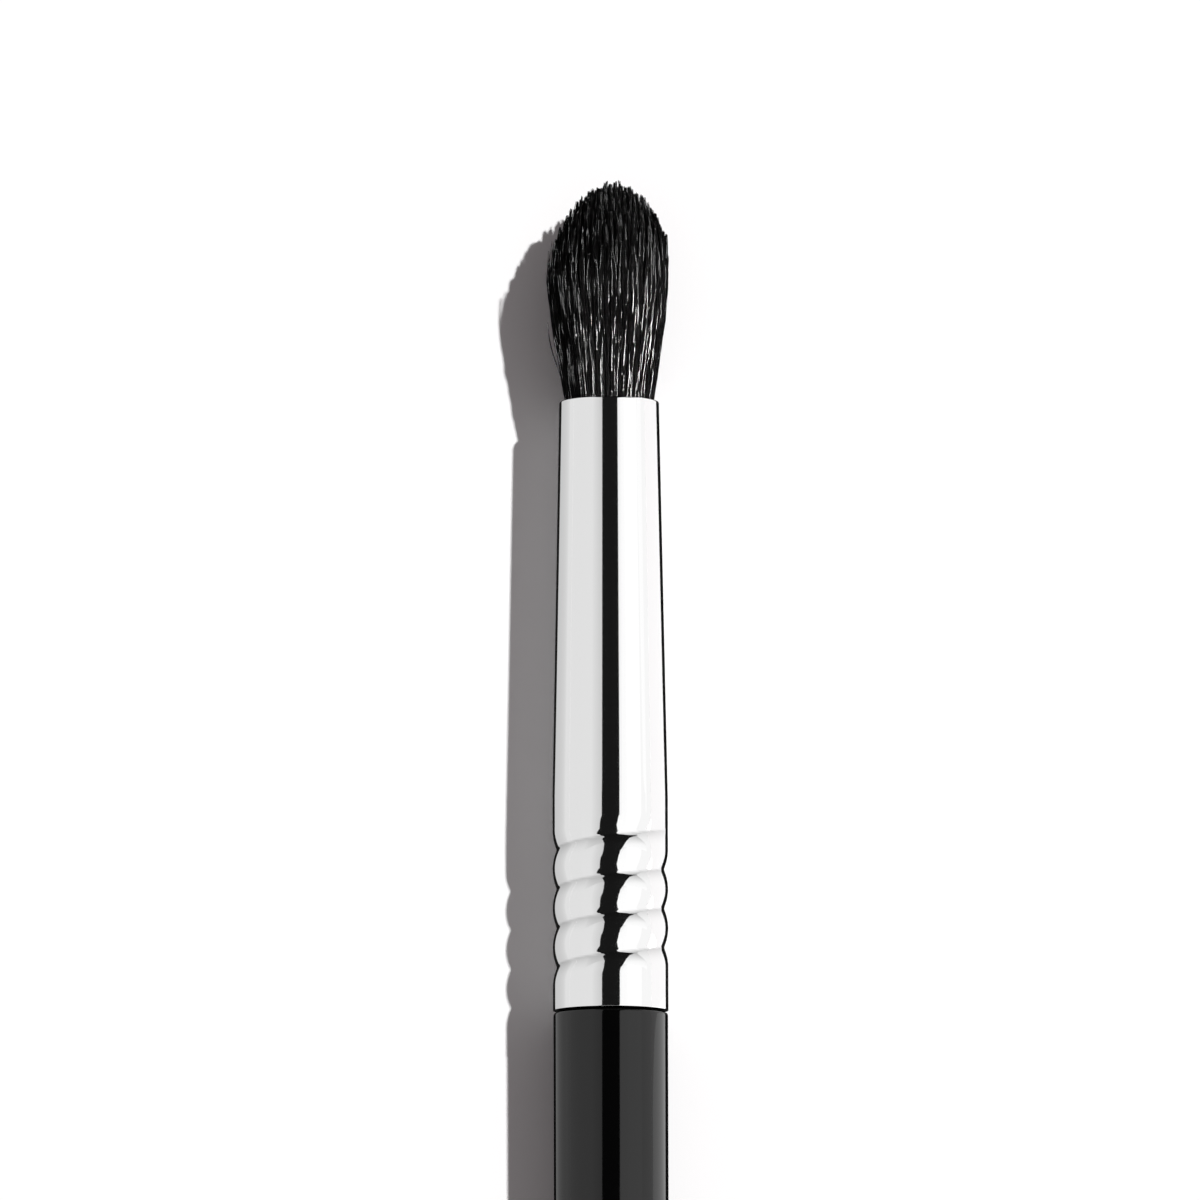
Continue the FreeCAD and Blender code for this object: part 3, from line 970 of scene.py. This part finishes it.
def set_cards(tuft):
    """Lays the table under the tuft's belly and the grip's end, and hangs the cards round it."""
    belly = Vector((0, MOUTH_Y - tuft.belly_height, -tuft.belly_diameter / 2))
    grip = Vector((0, GRIP["length_mm"] * MM / 2, -GRIP["r_mm"] * MM))
    rise = (grip.z - belly.z) / (grip.y - belly.y)

    def on_table(corners, above=0):
        return [(x, y, belly.z + (y - belly.y) * rise + above) for x, y in corners]

    add_sheet("table", on_table(rectangle((-TABLE, -TABLE), (TABLE, TABLE))), white_table())
    add_card("overhead_gap", GAP_HEIGHT, OVERHEAD_GAP, GAP_LEVEL)
    for name, start, end, levels in SOFTBOXES:
        add_card(name, CARD_HEIGHT, rectangle(start, end), levels)
    hair = bpy.data.collections["hair"]
    for name, start, end, levels in HAIR_STRIPS:
        add_card(name, STRIP_HEIGHT, rectangle(start, end), levels, hair)
    side = [(SIDE_STRIP_X, MOUTH_Y + y, z) for y, z in rectangle(*SIDE_STRIP)]
    add_mirrored("left_strip", side, SIDE_STRIP_LEVEL, hair)
    tip_wall = [(x, TIP_WALL_Y, z) for x, z in rectangle(*TIP_WALL)]
    add_mirrored("tip_wall", tip_wall, TIP_WALL_LEVEL)
    for name, start, end, levels in TABLE_CARDS:
        add_mirrored(name, on_table(rectangle(start, end), OVER_TABLE), levels)
    left_wall = [(LEFT_WALL_X, y, z) for y, z in rectangle(*LEFT_WALL)]
    add_mirrored("left_wall", left_wall, LEFT_WALL_LEVEL)


def set_lamp(scene, stage):
    """Sets the lamp that throws the shadow, and that mirrors don't show."""
    lamp = bpy.data.lights.new("sun", "SUN")
    lamp.energy = stage.sun
    lamp.angle = stage.sun_size
    sun = bpy.data.objects.new("sun", lamp)
    sun.visible_glossy = False
    sun.rotation_euler = Vector(SUN_WAY).to_track_quat("Z", "Y").to_euler()
    scene.collection.objects.link(sun)


def set_room(scene, stage):
    """Sets a room that looks white and gives a weak fill light."""
    world = bpy.data.worlds.new("white_room")
    world.use_nodes = True
    tree = world.node_tree
    tree.nodes.clear()
    fill = Vector(stage.fill_colour) * stage.fill
    light = add_node(tree, "ShaderNodeMix", {
        "Factor": seen_direct(tree), "A": (*fill, 1), "B": (1, 1, 1, 1)}, data_type="RGBA")
    room = add_node(tree, "ShaderNodeBackground", {"Color": light.outputs["Result"]})
    output = add_node(tree, "ShaderNodeOutputWorld")
    tree.links.new(room.outputs["Background"], output.inputs["Surface"])
    scene.world = world


def set_camera(scene, stage):
    """Sets the camera high over the brush."""
    view = bpy.data.cameras.new("camera")
    view.lens = view.sensor_width * stage.distance / stage.frame_width
    view.clip_end = 20
    camera = bpy.data.objects.new("camera", view)
    back = Vector((0, math.cos(stage.elevation), math.sin(stage.elevation)))
    spot = Matrix.Translation(Vector(AIM) + back * stage.distance)
    facing = (-back).to_track_quat("-Z", "Y").to_matrix().to_4x4()
    camera.matrix_world = spot @ facing @ Matrix.Rotation(stage.roll, 4, "Z")
    scene.collection.objects.link(camera)
    scene.camera = camera


class EYESHADOW_OT_stage(bpy.types.Operator):
    """Set the brush on a white table under one lamp, with cards for its metal to reflect"""
    bl_idname = "eyeshadow.stage"
    bl_label = "Stage"

    def execute(self, context):
        scene = context.scene
        set_cards(scene.eyeshadow_tuft)
        set_lamp(scene, scene.eyeshadow_stage)
        set_room(scene, scene.eyeshadow_stage)
        set_camera(scene, scene.eyeshadow_stage)
        scene.view_settings.view_transform = "Standard"
        return {"FINISHED"}


# Add-on

OPERATORS = (
    EYESHADOW_OT_ferrule,
    EYESHADOW_OT_handle,
    EYESHADOW_OT_tuft,
    EYESHADOW_OT_fixings,
    EYESHADOW_OT_stage,
)
SETTINGS = {
    "eyeshadow_ferrule": FerruleSettings,
    "eyeshadow_handle": HandleSettings,
    "eyeshadow_tuft": TuftSettings,
    "eyeshadow_stage": StageSettings,
}


class EYESHADOW_PT_brush(bpy.types.Panel):
    bl_label = "Eyeshadow Brush"
    bl_idname = "EYESHADOW_PT_brush"
    bl_space_type = "VIEW_3D"
    bl_region_type = "UI"
    bl_category = "Brush"

    def draw(self, context):
        for operator in OPERATORS:
            self.layout.operator(operator.bl_idname)
        for name, group in SETTINGS.items():
            box = self.layout.box()
            for setting in group.__annotations__:
                box.prop(getattr(context.scene, name), setting)


def register():
    for name, group in SETTINGS.items():
        bpy.utils.register_class(group)
        setattr(bpy.types.Scene, name, PointerProperty(type=group))
    for cls in (*OPERATORS, EYESHADOW_PT_brush):
        bpy.utils.register_class(cls)


def unregister():
    for cls in (EYESHADOW_PT_brush, *reversed(OPERATORS)):
        bpy.utils.unregister_class(cls)
    for name, group in SETTINGS.items():
        delattr(bpy.types.Scene, name)
        bpy.utils.unregister_class(group)


def main():
    register()
    bpy.ops.eyeshadow.ferrule()
    bpy.ops.eyeshadow.handle()
    bpy.ops.eyeshadow.tuft()
    bpy.ops.eyeshadow.fixings()
    bpy.ops.eyeshadow.stage()


if __name__ == "__main__":
    main()
